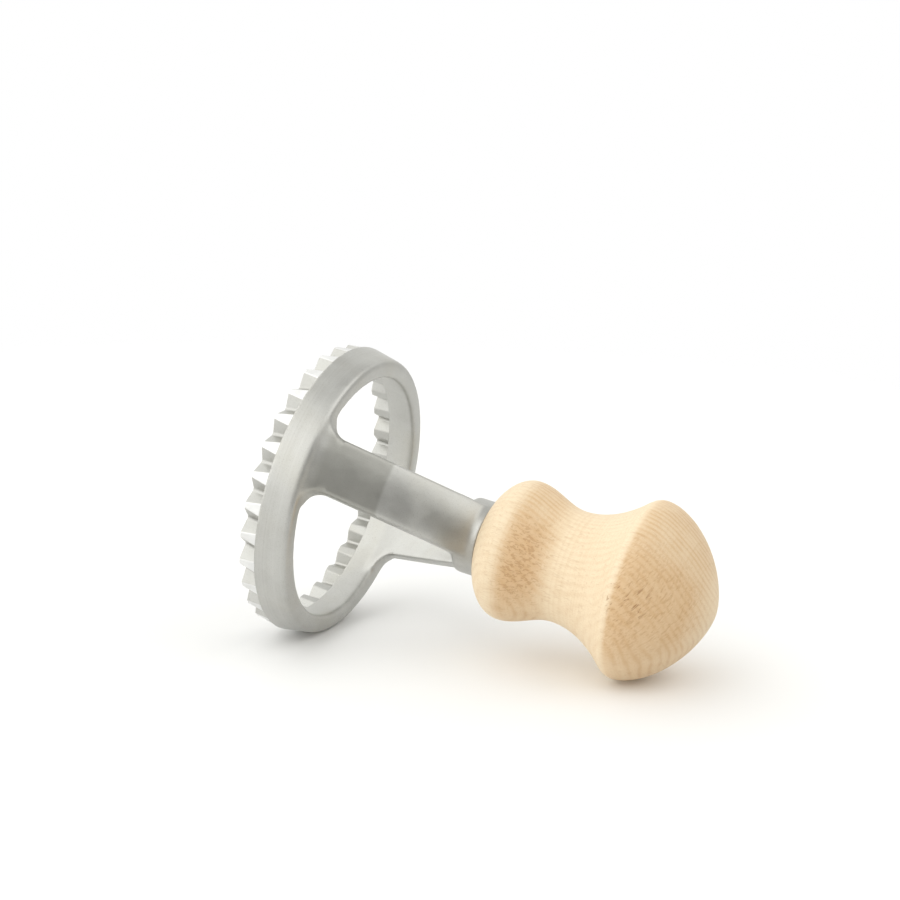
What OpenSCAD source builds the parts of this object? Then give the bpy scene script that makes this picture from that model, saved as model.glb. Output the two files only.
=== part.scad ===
// Round pastry cutter: a toothed cast ring on a two-armed fork, with a turned wooden handle.
// The tool stands on its cutting edge. +Z runs up the handle and the arms lie along +X and -X.

/* [Ring] */
// Outer diameter of the tapered band at its front, where it is widest
ring_d = 67.6; // [55:0.2:85]
// Height of the band, without the teeth
band_h = 7.4; // [5:0.1:11]
// How much smaller the band's outer radius is at the rear than at the front
band_draft = 1.3; // [0.4:0.1:1.6]
// Wall of the band at its rear face
ring_wall = 4.3; // [3.7:0.1:6]
// How much wider the opening's radius is at the teeth than at the rear face
ring_draft = 1; // [0.4:0.1:1.2]
// Rounding of the band's rear outer edge
rear_edge_r = 1.1; // [0.5:0.1:1.6]
// Rounding of the band's rear inner edge
bore_edge_r = 0.6; // [0.2:0.1:0.8]

/* [Teeth] */
// Number of teeth
tooth_n = 30; // [24:1:36]
// Height of the teeth below the band
tooth_h = 4; // [2.5:0.1:5]
// Turn of the first tooth away from the arm, in degrees
tooth_turn = 2; // [0:0.5:12]
// Step from the band down to the root of a tooth
root_step = 0.3; // [0.2:0.1:0.6]
// How much a tooth's outer face leans in from root to tip
land_lean = 0.4; // [0.1:0.1:0.6]
// Width of a tooth's outer face at the tip
land_w = 1.2; // [0.8:0.1:1.8]
// Width of the inner face between two inner grooves, at the tip
inner_land_w = 1.6; // [1:0.1:2.2]
// Width of the flat bottom of a groove
groove_flat = 0.6; // [0.3:0.1:0.9]
// Metal left behind the bottom of a groove at the root
root_web = 2.5; // [1.8:0.1:2.8]
// Metal left behind the bottom of an outer groove at the tip
outer_tip_web = 1.4; // [0.9:0.1:1.7]
// Metal left behind the bottom of an inner groove at the tip
inner_tip_web = 1.8; // [1.2:0.1:2.1]

/* [Arms] */
// Width of an arm
arm_w = 12.6; // [8:0.1:16]
// Thickness of an arm
arm_t = 3.8; // [2.5:0.1:5]
// Radius of the flare where an arm's sides meet the ring
arm_flare_r = 4; // [1:0.5:6]
// Radius of the blend between an arm's outer face and the hub
arm_blend_r = 2.5; // [1:0.5:6]

/* [Hub] */
// Outer diameter of the hub
hub_d = 17.3; // [16:0.1:22]
// Length of the hub along the handle
hub_h = 5.7; // [5.4:0.1:9]
// Distance from the ring's rear face to the hub's inner face
fork_h = 28; // [22:0.2:40]
// Rounding of the hub's inner edge
hub_edge_r = 0.9; // [0.4:0.1:1.5]

/* [Handle] */
// Length of the handle
handle_l = 53.7; // [45:0.1:70]
// Diameter of the handle's seat on the hub
seat_d = 17.6; // [16:0.1:22]
// Diameter of the bulge above the hub
bulge_d = 32; // [28:0.5:38]
// Height of the bulge above the hub
bulge_z = 7.2; // [5:0.1:9]
// Roundness of the seat's edge: 1 is an ellipse, more is slimmer at the seat
seat_power = 1.5; // [1:0.1:1.8]
// Diameter of the waist
waist_d = 25.4; // [20:0.2:27]
// Height of the waist above the hub
waist_z = 19.4; // [14:0.2:23]
// Diameter of the ridge of the knob
ridge_d = 41; // [34:0.5:48]
// Height of the ridge above the hub
ridge_z = 35.2; // [29:0.2:42]
// Shape of the flare from the waist to the ridge: 1 is straight, 2 is a parabola
flare_power = 2; // [1.4:0.1:2.4]
// Roundness of the dome's shoulder
dome_shoulder = 1.8; // [1.6:0.1:2.4]
// Bluntness of the dome's end: 0.5 is an ellipse, more is more pointed
dome_end = 0.65; // [0.5:0.05:0.8]

/* [Screw] */
// Diameter of the screw's plain shank
shank_d = 4.8; // [4:0.1:5.5]
// Outer diameter of the screw's thread
thread_d = 5; // [4:0.1:5.5]
// Diameter of the core between the threads
core_d = 3.4; // [2.6:0.1:3.8]
// Pitch of the thread
thread_pitch = 2.2; // [1.5:0.1:3]
// Number of threads in the wood
thread_n = 11; // [7:1:13]
// Diameter of the screw's head
head_d = 9; // [7.5:0.1:10]
// Height of the screw's head
head_h = 3; // [2:0.1:4]
// Width of the cross slot
slot_w = 1.1; // [0.8:0.1:1.4]
// Length of the cross slot
slot_l = 5; // [3:0.1:6]
// Depth of the cross slot
slot_depth = 1.6; // [1:0.1:2]

/* [Fits] */
// Radial clearance between the screw's shank and the hub's bore
bore_clearance = 0.1; // [0.05:0.05:0.3]

/* [Hidden] */
$fn = 96;
// Steps in each curved stretch of an outline
steps = 10;
// How far a cut runs past the surface that it opens
over = 1;
// How deep an arm's root sits in the ring, as a share of the band's height
root_share = 0.35;
// How far above the hub's inner face an arm's outer face would meet the hub without its blend
arm_meet = 4;
// Chamfer of the hub's rear edge
hub_chamfer = 0.3;

ring_r = ring_d / 2;
rear_r = ring_r - band_draft;
bore_r = rear_r - ring_wall;
front_r = bore_r + ring_draft;
ring_top = tooth_h + band_h;

root_r = ring_r - root_step;
tip_r = root_r - land_lean;
crown_root_t = root_r - front_r;
crown_tip_t = tip_r - front_r;
step_angle = 360 / tooth_n;
// Half of the tooth pitch on the outer and on the inner face
outer_half_pitch = tip_r * sin(step_angle / 2);
inner_half_pitch = front_r * sin(step_angle / 2);
outer_tip_depth = crown_tip_t - outer_tip_web;
inner_tip_depth = crown_tip_t - inner_tip_web;
root_depth = crown_root_t - root_web;
outer_flank = (outer_half_pitch - (land_w + groove_flat) / 2) / outer_tip_depth;
inner_flank = (inner_half_pitch - (inner_land_w + groove_flat) / 2) / inner_tip_depth;

hub_r = hub_d / 2;
hub_z = ring_top + fork_h;
hub_top = hub_z + hub_h;
bore_hole_r = shank_d / 2 + bore_clearance;

arm_root_r = rear_r - rear_edge_r;
band_lean = atan(band_draft / (band_h - rear_edge_r));
// Slope of an arm's outer face: radius lost for each millimetre of height
arm_slope = (arm_root_r - hub_r) / (fork_h + arm_meet);
arm_angle = atan(arm_slope);
arm_radial_t = arm_t / cos(arm_angle);
arm_foot = ring_top - root_share * band_h;
// The blend's arc touches the hub this far above the corner that it rounds
blend_rise = min(arm_blend_r * tan(arm_angle / 2), hub_h - arm_meet - hub_chamfer);
blend_r = blend_rise / tan(arm_angle / 2);

screw_l = hub_h + thread_n * thread_pitch + thread_pitch;

// Points of a circular arc from angle a to angle b
function arc(x, y, r, a, b) =
    [for (i = [0 : steps]) let (t = a + (b - a) * i / steps) [x + r * cos(t), y + r * sin(t)]];

// Outline of the handle, as radius against height above the hub
function seat_curve() =
    [for (i = [0 : steps])
        let (t = 90 * i / steps)
        [seat_d / 2 + (bulge_d - seat_d) / 2 * pow(sin(t), seat_power), bulge_z * (1 - cos(t))]];
function waist_curve() =
    [for (i = [1 : steps])
        let (t = i / steps)
        [(bulge_d + waist_d) / 4 + (bulge_d - waist_d) / 4 * cos(180 * t),
         bulge_z + (waist_z - bulge_z) * t]];
function flare_curve() =
    [for (i = [1 : steps])
        let (t = i / steps)
        [waist_d / 2 + (ridge_d - waist_d) / 2 * pow(t, flare_power),
         waist_z + (ridge_z - waist_z) * t]];
function dome_curve() =
    [for (i = [1 : steps])
        let (t = sin(90 * i / steps))
        [ridge_d / 2 * pow(1 - pow(t, dome_shoulder), dome_end),
         ridge_z + (handle_l - ridge_z) * t]];

// One groove of the teeth, with its bottom at r_tip at the tip and at r_root at the root.
// side is 1 for a groove that opens outwards and -1 for one that opens inwards.
module groove(r_tip, r_root, flank, side) {
    lean = atan((r_root - r_tip) / tooth_h);
    reach = crown_root_t + over;
    half = groove_flat / 2;
    wide = half + flank * reach / cos(lean);
    translate([r_tip, 0, 0])
        rotate([0, lean, 0])
            translate([0, 0, -2 * over])
                linear_extrude(tooth_h / cos(lean) + 4 * over)
                    polygon([[0, -half], [side * reach, -wide], [side * reach, wide], [0, half]]);
}

// Crown of teeth: a zig-zag wall between outer and inner grooves
module crown() {
    difference() {
        rotate_extrude()
            polygon([[front_r, 0], [tip_r, 0], [root_r, tooth_h], [front_r, tooth_h]]);
        for (i = [0 : tooth_n - 1]) {
            rotate([0, 0, tooth_turn + (i + 0.5) * step_angle])
                groove(tip_r - outer_tip_depth, root_r - root_depth, outer_flank, 1);
            rotate([0, 0, tooth_turn + i * step_angle])
                groove(front_r + inner_tip_depth, front_r + root_depth, inner_flank, -1);
        }
    }
}

// Tapered band above the teeth, rounded at its rear edges
module band() {
    rotate_extrude()
        polygon(concat(
            [[front_r, tooth_h], [ring_r, tooth_h]],
            arc(rear_r - rear_edge_r, ring_top - rear_edge_r, rear_edge_r, band_lean, 90),
            arc(bore_r + bore_edge_r, ring_top - bore_edge_r, bore_edge_r, 90, 180)));
}

// Cone-shaped wall that both arms are cut from, blended into the hub
module arm_cone() {
    blend_z = hub_z + arm_meet + blend_rise;
    inner_root_r = arm_root_r - arm_radial_t;
    inner_foot_r = inner_root_r + arm_slope * (ring_top - arm_foot);
    inner_hub_r = inner_root_r - arm_slope * (fork_h + hub_h / 2);
    rotate_extrude()
        polygon(concat(
            [[inner_foot_r, arm_foot], [arm_root_r, arm_foot], [arm_root_r, ring_top]],
            arc(hub_r + blend_r, blend_z, blend_r, 180 + arm_angle, 180),
            [[inner_hub_r, blend_z], [inner_hub_r, hub_z + hub_h / 2]]));
}

// Front outline of the arms: straight sides that flare out onto the ring
module arm_outline() {
    half = arm_w / 2;
    wide = half + arm_flare_r;
    polygon(concat(
        [[-wide, arm_foot], [wide, arm_foot]],
        arc(wide, ring_top + arm_flare_r, arm_flare_r, 270, 180),
        [[half, hub_top], [-half, hub_top]],
        arc(-wide, ring_top + arm_flare_r, arm_flare_r, 360, 270)));
}

module arms() {
    intersection() {
        arm_cone();
        rotate([90, 0, 90])
            translate([0, 0, -ring_r])
                linear_extrude(2 * ring_r)
                    arm_outline();
    }
}

module hub() {
    rotate_extrude()
        polygon(concat(
            [[0, hub_z]],
            arc(hub_r - hub_edge_r, hub_z + hub_edge_r, hub_edge_r, 270, 360),
            [[hub_r, hub_top - hub_chamfer], [hub_r - hub_chamfer, hub_top], [0, hub_top]]));
}

module cutter_frame() {
    color([0.75, 0.75, 0.73])
        difference() {
            union() {
                crown();
                band();
                arms();
                hub();
            }
            translate([0, 0, hub_z - over])
                cylinder(h = hub_h + 2 * over, r = bore_hole_r);
        }
}

// Threaded part of the screw, from the hub's rear face up to its point
module thread() {
    crest = thread_d / 2;
    core = core_d / 2;
    translate([0, 0, hub_top])
        rotate_extrude()
            polygon(concat(
                [[0, 0], [core, 0]],
                [for (i = [0 : thread_n - 1])
                    for (p = [[core, 0.35], [crest, 0.5], [core, 0.65]])
                        [p[0], (i + p[1]) * thread_pitch]],
                [[core, thread_n * thread_pitch], [0, (thread_n + 1) * thread_pitch]]));
}

module handle() {
    color([0.88, 0.74, 0.56])
        difference() {
            translate([0, 0, hub_top])
                rotate_extrude()
                    polygon(concat(
                        [[0, 0]],
                        seat_curve(),
                        waist_curve(),
                        flare_curve(),
                        dome_curve()));
            thread();
        }
}

// Pan-headed wood screw that holds the handle from inside the fork
module handle_screw() {
    head_r = head_d / 2;
    color([0.68, 0.69, 0.71])
        union() {
            difference() {
                translate([0, 0, hub_z - head_h])
                    rotate_extrude()
                        polygon(concat(
                            [[0, 0]],
                            arc(head_r - head_h / 2, head_h / 2, head_h / 2, 270, 360),
                            [[head_r, head_h], [0, head_h]]));
                for (a = [0, 90])
                    rotate([0, 0, a])
                        translate([-slot_l / 2, -slot_w / 2, hub_z - head_h - over])
                            cube([slot_l, slot_w, slot_depth + over]);
            }
            translate([0, 0, hub_z - head_h / 4])
                cylinder(h = hub_h + head_h / 4, r = shank_d / 2);
            thread();
        }
}

cutter_frame();
handle();
handle_screw();
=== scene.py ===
# %% [markdown]
# # A round pastry cutter
#
# The tool is a hand stamp for ravioli and pastry: a toothed ring on a two-armed fork, cast in one
# piece of aluminium, and a turned beech handle held by one hidden screw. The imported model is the
# fixed frame. This lesson builds the soft cast metal and the turned wood around it, and then lays
# the tool on a table in plain studio light.

import math

import bmesh
import bpy
from mathutils import Matrix, Vector


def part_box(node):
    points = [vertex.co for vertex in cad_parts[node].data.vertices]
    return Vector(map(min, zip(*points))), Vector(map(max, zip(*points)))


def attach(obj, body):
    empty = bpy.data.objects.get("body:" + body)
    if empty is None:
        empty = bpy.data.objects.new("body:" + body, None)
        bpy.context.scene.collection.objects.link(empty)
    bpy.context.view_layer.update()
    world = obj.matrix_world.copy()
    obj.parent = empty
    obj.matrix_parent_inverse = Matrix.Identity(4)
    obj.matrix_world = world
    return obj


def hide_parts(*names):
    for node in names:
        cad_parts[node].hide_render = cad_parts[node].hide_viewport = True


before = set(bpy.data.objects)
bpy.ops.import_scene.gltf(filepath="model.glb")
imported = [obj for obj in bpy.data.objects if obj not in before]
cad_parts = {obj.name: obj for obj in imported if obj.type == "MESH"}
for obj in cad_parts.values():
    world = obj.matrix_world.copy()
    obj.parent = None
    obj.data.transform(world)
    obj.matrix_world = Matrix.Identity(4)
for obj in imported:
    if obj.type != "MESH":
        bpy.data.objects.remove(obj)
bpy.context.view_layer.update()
MM = 0.001

# %% [markdown]
# ## Sizes
#
# Every size that a box can give is read from the frame. The others are the casting's and the
# handle's own sizes in millimetres, as a pattern maker and a turner would note them down.

# %% Sizes read from the frame
casting_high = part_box("cutter_frame")[1] / MM
handle_low, handle_high = (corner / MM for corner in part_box("handle"))
ring_r = casting_high.x
hub_top = handle_low.z
handle_end = handle_high.z
ridge_r = handle_high.x
print("ring radius", round(ring_r, 2), "hub top", round(hub_top, 2), "ridge", round(ridge_r, 2))

# %% Sizes of the casting
# The first of two radii is at the teeth's tips, and the second at their roots.
TOOTH_COUNT = 30
PITCH = 360 / TOOTH_COUNT
TOOTH_H = 4.0
TOOTH_TURN = 2.0
BAND_TOP = 11.4
BAND_TAPER = 1.3
REAR_R = ring_r - BAND_TAPER
RIM_ROUND_R = 1.1
OPENING_R = 29.2
GROOVE_FLAT = 0.6
LAND_W = 1.2
INNER_LAND_W = 1.6
LAND_R = (33.1, 33.5)
GROOVE_R = (30.6, 31.7)
INNER_GROOVE_R = (31.3, 31.0)

# %% [markdown]
# ## Helpers for pieces
#
# A piece is modelled in millimetres in a bmesh and turned into metres at the end, so its numbers
# are the ones a maker would read from a rule. Every piece rides on the one body and has its place in
# its mesh.

# %% Turn a bmesh into a piece
def make_piece(shape, name, slot, *replaced):
    bmesh.ops.scale(shape, vec=(MM, MM, MM), verts=shape.verts)
    mesh = bpy.data.meshes.new(name)
    shape.to_mesh(mesh)
    shape.free()
    mesh.shade_smooth()
    piece = bpy.data.objects.new(name, mesh)
    bpy.context.scene.collection.objects.link(piece)
    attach(piece, "root")
    if replaced:
        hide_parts(*replaced)
    print(name, len(mesh.polygons), "faces")
    return piece


# %% Spin an outline round the tool's axis
SPIN_WELD = 0.0005


def turn_outline(shape, outline, steps, closed):
    """Turns an outline of (radius, height) points into a lathe shape round the Z axis."""
    points = [shape.verts.new((radius, 0, height)) for radius, height in outline]
    pairs = list(zip(points, points[1:]))
    if closed:
        pairs.append((points[-1], points[0]))
    edges = [shape.edges.new(pair) for pair in pairs]
    bmesh.ops.spin(
        shape,
        geom=points + edges,
        cent=(0, 0, 0),
        axis=(0, 0, 1),
        angle=math.tau,
        steps=steps,
        use_merge=True,
        use_duplicate=False,
    )
    bmesh.ops.remove_doubles(shape, verts=shape.verts, dist=SPIN_WELD)
    bmesh.ops.recalc_face_normals(shape, faces=shape.faces)


# %% [markdown]
# ## The casting's body
#
# The band, the two arms and the hub are one casting. A sand or die casting has no sharp inside
# corners: metal flows through soft fillets, and tumbling rounds the outside edges as well. It
# could be modelled with bevels, but where flared arms meet a ring and a round hub those break up.
# So the body starts as a copy of the exact solid without its teeth. A voxel remesh gives it even
# cells, and smoothing then works like the tumbling barrel. The front of the band is turned on a
# lathe after casting, so it is left crisp and made exactly round again.

# %% Copy the exact casting and cut the teeth off
COPY_WELD = 0.002


def exact_copy(node, cut_z):
    """A merged copy of a node's mesh in millimetres, closed again where it is cut below a height."""
    shape = bmesh.new()
    shape.from_mesh(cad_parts[node].data)
    bmesh.ops.scale(shape, vec=(1 / MM, 1 / MM, 1 / MM), verts=shape.verts)
    bmesh.ops.remove_doubles(shape, verts=shape.verts, dist=COPY_WELD)
    whole = list(shape.verts) + list(shape.edges) + list(shape.faces)
    bmesh.ops.bisect_plane(
        shape, geom=whole, plane_co=(0, 0, cut_z), plane_no=(0, 0, 1), clear_inner=True
    )
    rim = [edge for edge in shape.edges if edge.is_boundary]
    caps = bmesh.ops.triangle_fill(shape, edges=rim, use_beauty=True)
    bmesh.ops.recalc_face_normals(shape, faces=shape.faces)
    print("rim edges", len(rim), "cap faces", len(caps["geom"]))
    return shape


# %% Remesh to even cells
def remesh(shape, cell):
    """Replaces a bmesh by its voxel remesh with cells of the given size."""
    mesh = bpy.data.meshes.new("remesh_work")
    shape.to_mesh(mesh)
    work = bpy.data.objects.new("remesh_work", mesh)
    bpy.context.scene.collection.objects.link(work)
    modifier = work.modifiers.new("cells", "REMESH")
    modifier.mode = "VOXEL"
    modifier.voxel_size = cell
    bpy.context.view_layer.update()
    solved = work.evaluated_get(bpy.context.evaluated_depsgraph_get()).to_mesh()
    shape.clear()
    shape.from_mesh(solved)
    bpy.data.objects.remove(work)
    bpy.data.meshes.remove(mesh)
    print("cells", len(shape.faces))


# %% Smoothing, and truing on the lathe
def tumble(shape, rounds, chosen):
    """Rounds off the chosen part of a shape, a little more with each round."""
    verts = [v for v in shape.verts if chosen(v.co)]
    for _ in range(rounds):
        bmesh.ops.smooth_vert(
            shape, verts=verts, factor=0.5, use_axis_x=True, use_axis_y=True, use_axis_z=True
        )


def band_radius(z):
    """The band tapers from its front edge to where its rear edge starts to round."""
    share = (z - TOOTH_H) / (BAND_TOP - RIM_ROUND_R - TOOTH_H)
    return ring_r + (REAR_R - ring_r) * share


def true_up(shape, low_z, high_z, radius_at, reach):
    """Puts the points near a turned surface, between two heights, exactly on it."""
    for v in shape.verts:
        r = math.hypot(v.co.x, v.co.y)
        wanted = radius_at(v.co.z)
        if low_z < v.co.z < high_z and abs(r - wanted) < reach:
            v.co.x *= wanted / r
            v.co.y *= wanted / r


# %% [markdown]
# The arms are tumbled most. Where they run into the ring, the fillets end in small corners, so the
# metal there is rubbed again in patches that get narrower, which leaves no step at their edges. The
# hub's crease is rubbed only a little, because it has to stay sharp.

# %% The casting's body
CELL = 0.32
LIGHT_ROUNDS = 2
ARM_ROUNDS = 14
ARM_Z = (TOOTH_H + 1.6, hub_top - 6.6)
ROOT_ROUNDS = 7
ROOT_Z = (8.5, 15.5)
ROOT_R = OPENING_R + 0.4
ROOT_HALF_WS = (21.0, 18.5, 16.0, 13.5, 11.5)
HUB_ROUNDS = 4
HUB_Z = (hub_top - 7.0, hub_top - 0.8)
TRUE_Z = (TOOTH_H + 0.45, BAND_TOP - 1.8)
TRUE_REACH = 0.3


def in_root(co, half_w):
    """Where the arms run into the ring's inner wall."""
    near_arm = abs(co.y) < half_w and math.hypot(co.x, co.y) < ROOT_R
    return near_arm and ROOT_Z[0] < co.z < ROOT_Z[1]


body_shape = exact_copy("cutter_frame", TOOTH_H)
remesh(body_shape, CELL)
tumble(body_shape, LIGHT_ROUNDS, lambda co: True)
tumble(body_shape, ARM_ROUNDS, lambda co: ARM_Z[0] < co.z < ARM_Z[1])
for half_w in ROOT_HALF_WS:
    tumble(body_shape, ROOT_ROUNDS, lambda co: in_root(co, half_w))
tumble(body_shape, HUB_ROUNDS, lambda co: HUB_Z[0] < co.z < HUB_Z[1])
true_up(body_shape, *TRUE_Z, band_radius, TRUE_REACH)
casting_body = make_piece(body_shape, "casting_body", "casting", "cutter_frame")

# %% [markdown]
# ## The crown of teeth
#
# The teeth are milled or die-cast crisp: flat facets with narrow, bright edges. Seen end on, the
# wall is a zig-zag, because grooves from outside and from inside take turns. One plain ring is
# spun, with four sections for each tooth, and each section is then moved to its place on the
# zig-zag. A bevel gives the facets the thin rounded edge that catches the light.

# %% The zig-zag of the wall
def between(pair, share):
    """A value that goes evenly from a tip value to a root value."""
    return pair[0] + (pair[1] - pair[0]) * share


def face_half_angle(face_w, face_r, groove_r, face_r_here, groove_r_here):
    """Half the angle of a face between two V grooves, in degrees.

    The flanks' slope is set at the tips, so a shallower groove leaves a wider face.
    """
    half_pitch = face_r * math.tan(math.radians(PITCH / 2))
    slope = (half_pitch - (face_w + GROOVE_FLAT) / 2) / abs(face_r - groove_r)
    half_gap = GROOVE_FLAT / 2 + slope * abs(face_r_here - groove_r_here)
    return PITCH / 2 - math.degrees(math.atan(half_gap / face_r_here))


def zigzag(section, outer, share):
    """Radius, and angle from the tooth's middle, of one of the four sections of a tooth.

    Outside, the face is in the middle and the groove half a pitch on. Inside they trade places.
    """
    if outer:
        face = between(LAND_R, share)
        groove = between(GROOVE_R, share)
        half = face_half_angle(LAND_W, LAND_R[0], GROOVE_R[0], face, groove)
    else:
        face = OPENING_R
        groove = between(INNER_GROOVE_R, share)
        half = face_half_angle(INNER_LAND_W, OPENING_R, INNER_GROOVE_R[0], face, groove)
    flat = math.degrees(math.atan(GROOVE_FLAT / 2 / groove))
    ends = [(face, half), (groove, flat)]
    middle, side = ends if outer else reversed(ends)
    places = [(middle[0], -middle[1]), middle]
    places += [(side[0], PITCH / 2 - side[1]), (side[0], PITCH / 2 + side[1])]
    return places[section]


# %% Spin a plain ring, then move its sections onto the zig-zag
OVERLAP = 0.6
SECTIONS = 4
PLAIN_R = (33.0, 29.0)

crown_shape = bmesh.new()
crown_top = TOOTH_H + OVERLAP
plain_ring = [(PLAIN_R[0], z) for z in (0.0, TOOTH_H, crown_top)]
plain_ring += [(PLAIN_R[1], z) for z in (crown_top, TOOTH_H, 0.0)]
turn_outline(crown_shape, plain_ring, SECTIONS * TOOTH_COUNT, closed=True)
for v in crown_shape.verts:
    turned = math.degrees(math.atan2(v.co.y, v.co.x)) / (PITCH / SECTIONS)
    tooth, section = divmod(round(turned) % (SECTIONS * TOOTH_COUNT), SECTIONS)
    outer = math.hypot(v.co.x, v.co.y) > sum(PLAIN_R) / 2
    radius, angle = zigzag(section, outer, min(v.co.z / TOOTH_H, 1.0))
    turn = math.radians(TOOTH_TURN + angle + PITCH * tooth)
    v.co.x = radius * math.cos(turn)
    v.co.y = radius * math.sin(turn)
bmesh.ops.recalc_face_normals(crown_shape, faces=crown_shape.faces)
crown = make_piece(crown_shape, "casting_teeth", "casting", "cutter_frame")

# %% Round the facets' edges a little
CROWN_EDGE_R = 0.26
FACET_ANGLE = math.radians(20)

edge_bevel = crown.modifiers.new("edge", "BEVEL")
edge_bevel.width = CROWN_EDGE_R * MM
edge_bevel.segments = 3
edge_bevel.limit_method = "ANGLE"
edge_bevel.angle_limit = FACET_ANGLE
facet_normals = crown.modifiers.new("facets", "WEIGHTED_NORMAL")
facet_normals.weight = 100
facet_normals.keep_sharp = True

# %% [markdown]
# ## The turned handle
#
# A handle like this is turned between centres from one billet of beech: a bulge for the fingers,
# a waist, a flare out to a ridge and a blunt dome for the palm. A lathe shape is one outline spun
# round its axis. The ridge is left a little soft, as sanding on the lathe leaves it.

# %% Outline of the handle
SEAT_R = 8.8
SEAT_POWER = 1.5
BULGE_R = 16.0
BULGE_Z = 7.2
WAIST_R = 12.7
WAIST_Z = 19.4
RIDGE_Z = 35.2
FLARE_POWER = 2.0
DOME_SHOULDER = 1.8
DOME_END = 0.65


def handle_outline(steps):
    """Points (radius, height above the hub) from the seat to the end of the dome."""
    handle_l = handle_end - hub_top
    shares = [i / steps for i in range(steps + 1)]
    seat = [
        (
            SEAT_R + (BULGE_R - SEAT_R) * math.sin(math.pi / 2 * t) ** SEAT_POWER,
            BULGE_Z * (1 - math.cos(math.pi / 2 * t)),
        )
        for t in shares
    ]
    waist = [
        (
            (BULGE_R + WAIST_R) / 2 + (BULGE_R - WAIST_R) / 2 * math.cos(math.pi * t),
            BULGE_Z + (WAIST_Z - BULGE_Z) * t,
        )
        for t in shares[1:]
    ]
    flare = [
        (WAIST_R + (ridge_r - WAIST_R) * t**FLARE_POWER, WAIST_Z + (RIDGE_Z - WAIST_Z) * t)
        for t in shares[1:]
    ]
    rises = [math.sin(math.pi / 2 * t) for t in shares[1:]]
    dome = [
        (
            ridge_r * (1 - t**DOME_SHOULDER) ** DOME_END,
            RIDGE_Z + (handle_l - RIDGE_Z) * t,
        )
        for t in rises
    ]
    return seat + waist + flare + dome


# %% Soften the ridge of the outline and spin it
RIDGE_SANDING = 3
RIDGE_REACH = 2.5
STRETCH_STEPS = 24
HANDLE_STEPS = 144


def sand(outline, rounds, low_z, high_z):
    """Averages the outline's points between two heights with their neighbours."""
    for _ in range(rounds):
        middle = [
            tuple((a + 2 * b + c) / 4 for a, b, c in zip(before, here, after))
            if low_z < here[1] < high_z
            else here
            for before, here, after in zip(outline, outline[1:], outline[2:])
        ]
        outline = [outline[0]] + middle + [outline[-1]]
    return outline


sharp = handle_outline(STRETCH_STEPS)
profile = sand(sharp, RIDGE_SANDING, RIDGE_Z - RIDGE_REACH, RIDGE_Z + RIDGE_REACH)
handle_shape = bmesh.new()
turn_outline(
    handle_shape,
    [(0.0, hub_top)] + [(radius, hub_top + height) for radius, height in profile],
    HANDLE_STEPS,
    closed=False,
)
handle = make_piece(handle_shape, "turned_handle", "handle_wood", "handle")

# %% [markdown]
# ## Node sheets
#
# A material is a sheet of nodes. Writing shader maths as Python expressions keeps it readable, so
# one small class wraps a socket and adds a Math node for each operator. All other nodes come from
# one method, which sets a node's settings first and then its values and links.

# %% A value that can be added, subtracted, multiplied, divided and raised
class Value:
    """One output socket of a sheet."""

    def __init__(self, sheet, socket):
        self.sheet = sheet
        self.socket = socket

    def math(self, operation, first, second):
        """The output of a Math node that takes two values."""
        return self.sheet.node("Math", {"operation": operation}, {0: first, 1: second})

    def __add__(self, other):
        return self.math("ADD", self, other)

    def __radd__(self, other):
        return self.math("ADD", other, self)

    def __sub__(self, other):
        return self.math("SUBTRACT", self, other)

    def __rsub__(self, other):
        return self.math("SUBTRACT", other, self)

    def __mul__(self, other):
        return self.math("MULTIPLY", self, other)

    def __rmul__(self, other):
        return self.math("MULTIPLY", other, self)

    def __truediv__(self, other):
        return self.math("DIVIDE", self, other)

    def __rtruediv__(self, other):
        return self.math("DIVIDE", other, self)

    def __pow__(self, other):
        return self.math("POWER", self, other)


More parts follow.
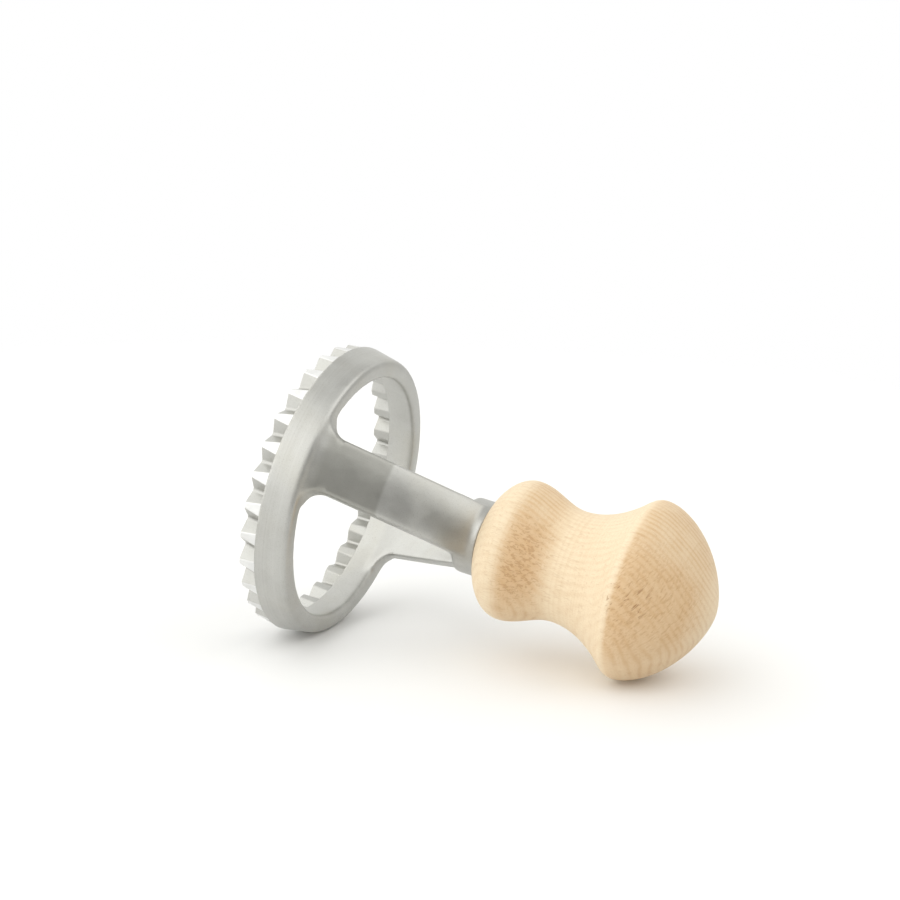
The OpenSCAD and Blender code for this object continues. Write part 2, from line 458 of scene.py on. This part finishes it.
# %% A sheet of nodes
class Sheet:
    """The node tree of one material or of the world."""

    def __init__(self, tree):
        self.tree = tree
        tree.nodes.clear()

    def node(self, kind, settings=None, inputs=None, output=0):
        """Adds a node: first its settings, then its values and links. Returns one output."""
        made = self.tree.nodes.new("ShaderNode" + kind)
        for name, value in (settings or {}).items():
            setattr(made, name, value)
        for key, value in (inputs or {}).items():
            if isinstance(value, Value):
                self.tree.links.new(value.socket, made.inputs[key])
            else:
                made.inputs[key].default_value = value
        return Value(self, made.outputs[output]) if made.outputs else None

    def place(self, turn=(0, 0, 0), per_metre=1 / MM):
        """Object coordinates, turned if asked, and in millimetres if no other unit is asked."""
        coords = self.node("TexCoord", output="Object")
        scale = (per_metre,) * 3
        return self.node("Mapping", inputs={"Vector": coords, "Scale": scale, "Rotation": turn})

    def stretch(self, vector, scale):
        """Coordinates with a scale of their own for each axis: a low one makes long marks."""
        return self.node("Mapping", inputs={"Vector": vector, "Scale": scale})

    def split(self, vector):
        """The x, y and z of a vector."""
        first = self.node("SeparateXYZ", inputs={"Vector": vector})
        return [Value(self, socket) for socket in first.socket.node.outputs]

    def distance(self, vector, place):
        """How far each point lies from a place."""
        return self.node("VectorMath", {"operation": "DISTANCE"}, {0: vector, 1: place}, "Value")

    def largest(self, first, second):
        """The larger of two values."""
        return self.node("Math", {"operation": "MAXIMUM"}, {0: first, 1: second})

    def noise(self, vector, scale, detail=2.0, roughness=0.5, distortion=0.0):
        """Cloudy noise between 0 and 1: a scale of 2 in millimetres gives half-millimetre spots."""
        values = {"Vector": vector, "Scale": scale, "Detail": detail, "Roughness": roughness}
        values["Distortion"] = distortion
        return self.node("TexNoise", inputs=values, output="Fac")

    def fade(self, value, start, end, low=0.0, high=1.0):
        """A smooth step from low to high while the value goes from start to end."""
        settings = {"interpolation_type": "SMOOTHSTEP"}
        keys = ("Value", "From Min", "From Max", "To Min", "To Max")
        return self.node("MapRange", settings, dict(zip(keys, (value, start, end, low, high))))

    def hump(self, value, rise, fall):
        """Rises smoothly from 0 to 1 over one stretch, and falls back to 0 over another."""
        return self.fade(value, *rise) * self.fade(value, fall[1], fall[0])

    def mix(self, share, first, second):
        """Mixes two colours."""
        colours = [c if isinstance(c, Value) else (*c, 1.0) for c in (first, second)]
        inputs = {0: share, 6: colours[0], 7: colours[1]}
        return self.node("Mix", {"data_type": "RGBA"}, inputs, output=2)


# %% Start and finish a material
def start_material(name):
    """A new material and its empty sheet."""
    material = bpy.data.materials.new(name)
    material.use_nodes = True
    return material, Sheet(material.node_tree)


def finish_surface(sheet, values, relief, depth, strength):
    """Feeds one Principled surface to the output, with a relief that is some millimetres deep."""
    bump = {"Strength": strength, "Distance": depth * MM, "Height": relief}
    values["Normal"] = sheet.node("Bump", inputs=bump)
    surface = sheet.node("BsdfPrincipled", inputs=values)
    sheet.node("OutputMaterial", inputs={"Surface": surface})


# %% [markdown]
# ## Cast aluminium
#
# The metal is plain aluminium, tumbled after casting: a satin grey with a faint warm tint, a fine
# grain of small pits from the mould, and soft lumps you see only in the reflections. All of it is
# noise, counted in millimetres. Colour and roughness share the same noises, as they would if both
# came from the same wear.

# %% The grey that the body and the teeth share
DARK_GREY = (0.475, 0.472, 0.448)
LIGHT_GREY = (0.54, 0.54, 0.515)
WARM_GREY = (0.46, 0.44, 0.37)
PIT_GREY = (0.33, 0.32, 0.29)
CAST_RELIEF = 0.028


def tumbled_grey(sheet, at, mottle, grain):
    """Colour and roughness of the tumbled metal."""
    patches = sheet.noise(at, 0.07, detail=3.0, roughness=0.55, distortion=0.4)
    grey = sheet.mix(sheet.fade(mottle, 0.3, 0.7), DARK_GREY, LIGHT_GREY)
    tinted = sheet.mix(sheet.fade(patches, 0.45, 0.75) * 0.3, grey, WARM_GREY)
    colour = sheet.mix(sheet.fade(grain, 0.54, 0.70) * 0.45, tinted, PIT_GREY)
    rough = sheet.fade(mottle, 0.25, 0.75, 0.36, 0.46) + sheet.fade(grain, 0.4, 0.7, 0.0, 0.08)
    return colour, rough


def cast_noises(sheet, at):
    """Broad mottling, fine grain and soft lumps."""
    mottle = sheet.noise(at, 0.16, detail=5.0, roughness=0.6)
    grain = sheet.noise(at, 4.5, detail=3.0, roughness=0.65)
    lumps = sheet.noise(at, 0.45, detail=2.0)
    return mottle, grain, lumps


# %% [markdown]
# Three marks are found on the body only. On the outside of the band a lathe tool has left faint
# rings, from noise that changes with height and hardly round the axis. The outer face of the arm on
# the +X side is darker up to about half of its height, which a few fades over height, side and
# radius pick out. Close to the hub, where the handle sits on it, a round brown patch is painted: a
# painted reflection of the wood and painted shade in the crease. It is a distance from one point,
# made uneven by the mottling.

# %% Finish of the casting's body
LATHE_GREY = (0.66, 0.66, 0.64)
ARM_PATCH_GREY = (0.30, 0.295, 0.265)
PAINTED_WOOD_REFLECTION = (0.24, 0.20, 0.14)
ARM_PATCH_RISE_Z = (BAND_TOP, BAND_TOP + 2.5)
ARM_PATCH_FALL_Z = (25.0, 25.8)
ARM_PATCH_SIDE_X = (8.0, 12.0)
ARM_SLOPE = 0.677
ARM_FACE_R = (REAR_R - 3.5, REAR_R - 2.0)
BAND_FACE_R = (REAR_R - 0.1, REAR_R + 0.1)
# Where the painted reflection of the wood and the painted shade by the hub sit.
PAINTED_HUB_SHADE_AT = (11.0, 7.0, 43.0)
PAINTED_HUB_SHADE_R = (3.5, 9.0)
PAINTED_HUB_SHADE_SWAY = 3.0


def darker_arm_patch(sheet, x, z, radius):
    """1 on the outer face of the +X arm, from the band to about half-way up."""
    inside_band = sheet.fade(radius, REAR_R, REAR_R - 1.0)
    arm_face = radius + (z - BAND_TOP) * ARM_SLOPE
    on_face = sheet.fade(arm_face, *ARM_FACE_R)
    on_side = sheet.fade(x, *ARM_PATCH_SIDE_X)
    return sheet.hump(z, ARM_PATCH_RISE_Z, ARM_PATCH_FALL_Z) * on_side * inside_band * on_face


def cast_aluminium(name):
    """Tumbled aluminium with lathe rings, a darker arm patch, and painted reflection and shade by
    the hub.
    """
    material, sheet = start_material(name)
    at = sheet.place()
    x, y, z = sheet.split(at)
    radius = (x * x + y * y) ** 0.5
    mottle, grain, lumps = cast_noises(sheet, at)
    grey, rough = tumbled_grey(sheet, at, mottle, grain)

    on_band = sheet.fade(radius, *BAND_FACE_R)
    round_axis = sheet.node("CombineXYZ", inputs={"X": radius * 0.3, "Z": z})
    rings = sheet.noise(round_axis, 3.2, detail=4.0, roughness=0.7)
    turned = sheet.mix(sheet.fade(rings, 0.35, 0.7) * on_band * 0.3, grey, LATHE_GREY)

    # Darker colour on the outer face of the +X arm, up to about half its height.
    arm_patched = sheet.mix(darker_arm_patch(sheet, x, z, radius) * 0.6, turned, ARM_PATCH_GREY)
    # Painted reflection of the wood and painted shade in the crease by the hub: a brown patch round
    # one point.
    from_painted_hub_shade = sheet.distance(at, PAINTED_HUB_SHADE_AT) + mottle * PAINTED_HUB_SHADE_SWAY
    painted_hub_shade = sheet.fade(from_painted_hub_shade, PAINTED_HUB_SHADE_R[1], PAINTED_HUB_SHADE_R[0])
    colour = sheet.mix(painted_hub_shade * 0.6, arm_patched, PAINTED_WOOD_REFLECTION)
    relief = grain * 0.45 + lumps * 1.2 + rings * on_band * 0.5
    values = {"Base Color": colour, "Metallic": 1.0, "Roughness": rough}
    finish_surface(sheet, values, relief, CAST_RELIEF, 1.0)
    return material


casting_body.data.materials.append(cast_aluminium("cast_aluminium"))
print("casting_body is", casting_body.data.materials[0].name)

# %% [markdown]
# The teeth are the same metal, but the tool that trued their outer faces has cut through the
# tumbled skin, so those faces are brighter and a little smoother. They are found by their radius,
# which grows slightly from tip to root.

# %% Finish of the teeth
LAND_LEAN = (LAND_R[1] - LAND_R[0]) / TOOTH_H
CUT_R = (LAND_R[0] - 0.16, LAND_R[0] - 0.04)
CUT_DARK = (0.72, 0.72, 0.71)
CUT_LIGHT = (0.82, 0.82, 0.81)


def cast_teeth(name):
    """The same metal, brighter on the faces that were cut."""
    material, sheet = start_material(name)
    at = sheet.place()
    x, y, z = sheet.split(at)
    radius = (x * x + y * y) ** 0.5
    mottle, grain, lumps = cast_noises(sheet, at)
    grey, rough = tumbled_grey(sheet, at, mottle, grain)

    on_land = sheet.fade(radius - z * LAND_LEAN, *CUT_R)
    cut = sheet.mix(sheet.fade(mottle, 0.3, 0.7), CUT_DARK, CUT_LIGHT)
    colour = sheet.mix(on_land, grey, cut)
    values = {"Base Color": colour, "Metallic": 1.0, "Roughness": rough - on_land * 0.06}
    finish_surface(sheet, values, grain * 0.3 + lumps * 1.0, CAST_RELIEF, 1.0)
    return material


crown.data.materials.append(cast_teeth("cast_aluminium_teeth"))
print("casting_teeth is", crown.data.materials[0].name)

# %% [markdown]
# ## Turned beech
#
# Beech is a pale, even, peach-coloured wood. Its growth rings are only a little darker than the
# rest, and its rays show as short dark flecks that run along the grain. The grain runs along the
# handle, so a block texture does it all: rings round a far-off heart of the tree, and flecks from
# noise stretched along the axis. Where the surface cuts across the grain, the same block shows the
# rings as stripes and arcs with no extra work.

# %% Colours of the wood
LIGHT_WOOD = (0.81, 0.67, 0.475)
DARK_WOOD = (0.68, 0.48, 0.278)
RAY_WOOD = (0.62, 0.38, 0.19)
RING_WOOD = (0.60, 0.38, 0.19)
FIBRE_WOOD = (0.56, 0.34, 0.17)
LATHE_WOOD = (0.62, 0.42, 0.22)
FLECK_WOOD = (0.42, 0.22, 0.09)
SCORED_WOOD = (0.46, 0.25, 0.11)
TORN_WOOD = (0.34, 0.16, 0.06)

# %% Growth rings
GRAIN_TURN = (math.radians(4), math.radians(-5), 0)
HEART = (-25.0, -64.0)
RING_GAP = 1.35
RING_SWAY = 5.0


def growth_rings(sheet, at):
    """Late wood: 1 in the middle of each dark line, 0 between the lines."""
    x, y, _ = sheet.split(at)
    x = x - HEART[0]
    y = y - HEART[1]
    sway = sheet.noise(at, 0.06, detail=1.0, roughness=0.5)
    from_heart = (x * x + y * y) ** 0.5 + sway * RING_SWAY
    phase = sheet.node("Math", {"operation": "FRACT"}, {0: from_heart / RING_GAP})
    ridge = sheet.node("Math", {"operation": "ABSOLUTE"}, {0: phase - 0.5}) * 2.0
    return sheet.fade(ridge, 0.25, 1.0)


# %% [markdown]
# A lathe cuts cleanly downhill and scrapes where it meets the fibres' ends. So two stretches are
# darker and drier than the rest: the fall from the bulge to the waist, and the dome. Both face the
# end of the handle, away from the brighter light on the ring's side, so part of their darkness is
# painted shade. One face of the handle lies across the rays and shows more flecks than the others.
# On that face, a little way up the dome, the tool has also torn out a few fibres, which leaves small
# dark slots.

# %% Marks of the lathe
# The two stretches that are darker: partly the lathe's scraping, partly painted shade.
BULGE_FALL = ((6.5, 10.5), (13.5, 21.0))
DOME_FALL = ((RIDGE_Z, RIDGE_Z + 1.6), (49.0, 54.5))
RAY_FACE = (0.94, 0.34)
TEAR_AT = (19.0, 6.5, hub_top + 39.5)
TEAR_R = (3.5, 6.5)
SCORE_TURN = (math.radians(30), 0, 0)
SCORE_STRETCH = (1.5, 0.34, 1.5)


def ray_side(sheet, x, y, radius):
    """1 on the face of the handle that shows its rays."""
    facing = (x * RAY_FACE[0] + y * RAY_FACE[1]) / (radius + 0.5)
    return sheet.fade(facing, 0.55, 0.98)


def tool_marks(sheet, plain):
    """Torn slots in one spot, and the strokes of a scraping tool."""
    across = sheet.stretch(sheet.place(turn=SCORE_TURN), SCORE_STRETCH)
    slots = sheet.fade(sheet.noise(across, 1.0, detail=2.0, distortion=0.5), 0.62, 0.66)
    torn = slots * sheet.fade(sheet.distance(plain, TEAR_AT), TEAR_R[1], TEAR_R[0])
    strokes = sheet.fade(sheet.noise(across, 1.6, detail=2.0, distortion=0.5), 0.50, 0.64)
    return torn, strokes


# %% [markdown]
# The finish is built up as the eye takes it in: the wood's tone with its painted shade, then rings,
# fibres, the fine lines of the turning, flecks, and last the marks of the tool. Flecks, fibres and
# lines are also pressed into the surface a little.

# %% Turned beech
FLECK_STRETCH = (1.9, 1.9, 0.34)
FIBRE_STRETCH = (6.0, 6.0, 0.6)
WOOD_RELIEF = 0.04


def turned_beech(name):
    """Bare beech, fine-sanded, as it comes off the lathe."""
    material, sheet = start_material(name)
    at = sheet.place(turn=GRAIN_TURN)
    plain = sheet.place()
    x, y, z = sheet.split(plain)
    height = z - hub_top
    radius = (x * x + y * y) ** 0.5
    ray_face = ray_side(sheet, x, y, radius)
    bulge_fall = sheet.hump(height, *BULGE_FALL)
    dome_fall = sheet.hump(height, *DOME_FALL)
    end_grain_and_shade = bulge_fall + dome_fall
    rays = bulge_fall * ray_face

    patchy = sheet.noise(plain, 0.22, detail=2.0)
    flecks = sheet.noise(
        sheet.stretch(at, FLECK_STRETCH), 1.0, detail=2.0, roughness=0.5, distortion=1.0
    )
    fibre = sheet.noise(sheet.stretch(at, FIBRE_STRETCH), 1.0, detail=2.0, roughness=0.6)
    round_axis = sheet.node("CombineXYZ", inputs={"X": radius * 0.4, "Z": height})
    lathe = sheet.noise(round_axis, 1.8, detail=3.0, roughness=0.7)
    fibre_show = sheet.fade(fibre, 0.45, 0.75)
    lathe_show = sheet.fade(lathe, 0.45, 0.75)
    fleck = sheet.fade(flecks + rays * 0.09, 0.60, 0.68)
    torn, strokes = tool_marks(sheet, plain)

    # Darker on the two stretches that face the handle's end: partly end-grain tone, partly painted
    # shade.
    dark = end_grain_and_shade * (0.45 + ray_face * 0.45 + sheet.fade(patchy, 0.35, 0.65) * 0.15)
    tone = sheet.mix(dark, LIGHT_WOOD, DARK_WOOD)
    warm = sheet.mix(rays * 0.25, tone, RAY_WOOD)
    ring_show = (0.15 + end_grain_and_shade * 0.28) * sheet.fade(patchy, 0.35, 0.65, 0.5, 1.25)
    ringed = sheet.mix(growth_rings(sheet, at) * ring_show, warm, RING_WOOD)
    fibres = sheet.mix(fibre_show * 0.32, ringed, FIBRE_WOOD)
    lines = sheet.mix(lathe_show * 0.30, fibres, LATHE_WOOD)
    flecked = sheet.mix(fleck * (0.16 + rays * 0.30), lines, FLECK_WOOD)
    scored = sheet.mix(strokes * dome_fall * ray_face * 0.38, flecked, SCORED_WOOD)
    colour = sheet.mix(torn * 0.6, scored, TORN_WOOD)

    relief = 1.0 - fleck * (0.4 + rays) - fibre_show * 0.5 - torn * 2.0 - lathe_show * 0.3
    values = {"Base Color": colour, "Roughness": sheet.fade(fibre, 0.3, 0.7, 0.50, 0.62)}
    values["Specular IOR Level"] = 0.35
    finish_surface(sheet, values, relief, WOOD_RELIEF, 0.8)
    return material


handle.data.materials.append(turned_beech("turned_beech"))
print("turned_handle is", handle.data.materials[0].name)

# %% [markdown]
# ## The screw
#
# The one screw sits in the fork with its head against the hub. Its exact shape is right, so the
# frame's own piece stays and only gets its steel: bright, a little hazy, and finely scratched.

# %% Zinc-plated steel
BLUE_STEEL = (0.52, 0.53, 0.54)
PALE_STEEL = (0.66, 0.66, 0.64)
STEEL_RELIEF = 0.01


def plated_steel(name):
    """Bright plated steel with fine scratches."""
    material, sheet = start_material(name)
    at = sheet.place()
    haze = sheet.noise(at, 0.8, detail=3.0)
    scratches = sheet.noise(at, 6.0, detail=3.0, roughness=0.7)
    colour = sheet.mix(sheet.fade(haze, 0.35, 0.65), BLUE_STEEL, PALE_STEEL)
    rough = sheet.fade(scratches, 0.3, 0.7, 0.22, 0.42)
    values = {"Base Color": colour, "Metallic": 1.0, "Roughness": rough}
    finish_surface(sheet, values, scratches, STEEL_RELIEF, 0.5)
    return material


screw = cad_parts["handle_screw"]
screw.data.materials.clear()
screw.data.materials.append(plated_steel("plated_steel"))
print("handle_screw is", screw.data.materials[0].name)

# %% [markdown]
# ## The table
#
# The frame stands the tool on its teeth, but it rests on its side: on the rim of the ring and the
# ridge of the handle. So the table leans instead. Its lean is the angle at which both touch it, and
# is found by halving.

# %% Find the lean at which the rim and the handle both touch the table
TABLE_HEADING = math.radians(-60.0)
STEEPEST_LEAN = math.radians(45)
HALVINGS = 40
FRONT_EDGE_Z = TOOTH_H + 0.1


def rim_reach(lean):
    """How far the band's front edge, or its rounded rear edge, reaches towards the table."""
    front = ring_r * math.cos(lean) + FRONT_EDGE_Z * math.sin(lean)
    round_z = BAND_TOP - RIM_ROUND_R
    rear = (REAR_R - RIM_ROUND_R) * math.cos(lean) + round_z * math.sin(lean) + RIM_ROUND_R
    return max(front, rear)


def handle_reach(lean):
    """How far the handle's outline reaches towards the table."""
    return max(r * math.cos(lean) + (hub_top + z) * math.sin(lean) for r, z in profile)


low_lean, high_lean = 0.0, STEEPEST_LEAN
for _ in range(HALVINGS):
    lean = (low_lean + high_lean) / 2
    if handle_reach(lean) < rim_reach(lean):
        low_lean = lean
    else:
        high_lean = lean
table_up = Vector(
    (
        math.cos(TABLE_HEADING) * math.cos(lean),
        math.sin(TABLE_HEADING) * math.cos(lean),
        -math.sin(lean),
    )
)
table_point = -table_up * rim_reach(lean) * MM
print("the table leans by", round(math.degrees(lean), 2), "degrees")

# %% [markdown]
# The table's top is pale and matt. Three things about it are stage tricks. It is clear from below,
# so that a view from under it still shows the tool. It fades to clear further out, so that no
# horizon shows behind the tool. And it lets a share of the light through to everything but the
# camera, so that the side that faces the table isn't black.

# %% Make the table
TABLE_R = 3.0
TABLE_DARK = (0.845, 0.845, 0.838)
TABLE_LIGHT = (0.86, 0.86, 0.853)
TABLE_FADE = (0.2, 0.4)
LIGHT_PASSED = 0.22


def table_material(name):
    """Matt and pale, and clear from below and far out. Its coordinates are in metres."""
    material, sheet = start_material(name)
    at = sheet.place(per_metre=1.0)
    tone = sheet.noise(at, 9.0, detail=2.0)
    colour = sheet.mix(sheet.fade(tone, 0.3, 0.7), TABLE_DARK, TABLE_LIGHT)
    surface = sheet.node("BsdfPrincipled", inputs={"Base Color": colour, "Roughness": 0.8})
    clear = sheet.node("BsdfTransparent")

    below = sheet.node("NewGeometry", output="Backfacing")
    far_out = sheet.fade(sheet.distance(at, (0, 0, 0)), *TABLE_FADE)
    seen = sheet.node("LightPath", output="Is Camera Ray")
    passed = (1.0 - seen) * LIGHT_PASSED
    hidden = sheet.largest(sheet.largest(below, far_out), passed)
    both = sheet.node("MixShader", inputs={0: hidden, 1: surface, 2: clear})
    sheet.node("OutputMaterial", inputs={"Surface": both})
    return material


table_shape = bmesh.new()
bmesh.ops.create_circle(table_shape, cap_ends=True, segments=96, radius=TABLE_R)
lay_down = table_up.to_track_quat("Z", "Y").to_matrix().to_4x4()
bmesh.ops.transform(
    table_shape, matrix=Matrix.Translation(table_point) @ lay_down, verts=table_shape.verts
)
table_mesh = bpy.data.meshes.new("table")
table_shape.to_mesh(table_mesh)
table_shape.free()
table = bpy.data.objects.new("table", table_mesh)
bpy.context.scene.collection.objects.link(table)
table.data.materials.append(table_material("pale_table"))

# %% [markdown]
# ## Camera
#
# A short telephoto view from about half a metre, as in a catalogue. The three directions are the
# camera's right, up and backward axes in the tool's own frame. Places are in metres here.

# %% Camera
camera_right = Vector((-0.26638, -0.36224, 0.89321))
camera_up = Vector((0.30547, -0.91065, -0.27821))
camera_back = Vector((0.91418, 0.19874, 0.35324))
camera_place = Vector((0.45675, 0.08222, 0.20466))
camera_data = bpy.data.cameras.new("camera")
camera_data.lens = 88.0
camera_data.sensor_width = 36.0
camera_data.clip_start = 0.01
camera_data.clip_end = 50.0
camera = bpy.data.objects.new("camera", camera_data)
camera_turn = Matrix((camera_right, camera_up, camera_back)).transposed().to_4x4()
camera.matrix_world = Matrix.Translation(camera_place) @ camera_turn
bpy.context.scene.collection.objects.link(camera)
bpy.context.scene.camera = camera
camera_height = (camera_place - table_point).dot(table_up) / MM
camera_tilt = math.degrees(math.asin(camera_back.dot(table_up)))
print("camera", round(camera_height), "mm above the table")
print("camera looks down by", round(camera_tilt, 1), "degrees")

# %% [markdown]
# ## Light
#
# A light tent, and no lamp: the world itself is the light, white on every side. Bare metal shows
# only what it mirrors, so the tent isn't even. It is brighter behind the camera and on both sides
# above, dimmer straight above and low beyond the handle, and it has a dark gap beside the camera,
# which is what gives the metal its greys. Each of these is a soft round patch, worked out from the
# direction in which a ray looks. The camera itself sees plain white.

# %% A soft patch of light
def glow(sheet, look, direction, wide, narrow, amount):
    """Light added round one direction, from nothing at a wide angle to all at a narrow one."""
    facing = sheet.node(
        "VectorMath",
        {"operation": "DOT_PRODUCT"},
        {0: look, 1: tuple(Vector(direction).normalized())},
        output="Value",
    )
    edge = math.cos(math.radians(wide))
    core = math.cos(math.radians(narrow))
    return sheet.fade(facing, edge, core, 0.0, amount)


# %% The tent
SKY = 1.03
TENT_WHITE = (1.0, 1.0, 0.982, 1.0)
PURE_WHITE = (1.0, 1.0, 1.0, 1.0)


def tent_light(world):
    """An uneven white tent. Left, right and above are as the camera sees them."""
    sheet = Sheet(world.node_tree)
    look = sheet.node("TexCoord", output="Generated")
    behind_camera = glow(sheet, look, (0.97, -0.15, 0.02), 45, 15, 0.6)
    upper_left = glow(sheet, look, (0.35, -0.20, -0.90), 75, 20, 0.65)
    low_right = glow(sheet, look, (-0.30, 0.10, 0.95), 85, 35, -0.35)
    upper_right = glow(sheet, look, (0.30, -0.72, 0.62), 36, 20, 0.9)
    above = glow(sheet, look, (0.38, -0.92, -0.08), 45, 15, -0.42)
    gap = glow(sheet, look, (0.61, 0.18, 0.77), 47, 24, -0.68)
    sides = SKY + behind_camera + upper_left + low_right + upper_right + above
    strength = sides * (1.0 + gap)
    tent = sheet.node("Background", inputs={"Color": TENT_WHITE, "Strength": strength})
    plain = sheet.node("Background", inputs={"Color": PURE_WHITE, "Strength": 1.0})
    seen = sheet.node("LightPath", output="Is Camera Ray")
    both = sheet.node("MixShader", inputs={0: seen, 1: tent, 2: plain})
    sheet.node("OutputWorld", inputs={"Surface": both})


world = bpy.data.worlds.new("tent")
world.use_nodes = True
bpy.context.scene.world = world
tent_light(world)

# %% Plain colours, so that white stays white
bpy.context.scene.view_settings.view_transform = "Standard"
bpy.context.scene.view_settings.look = "None"
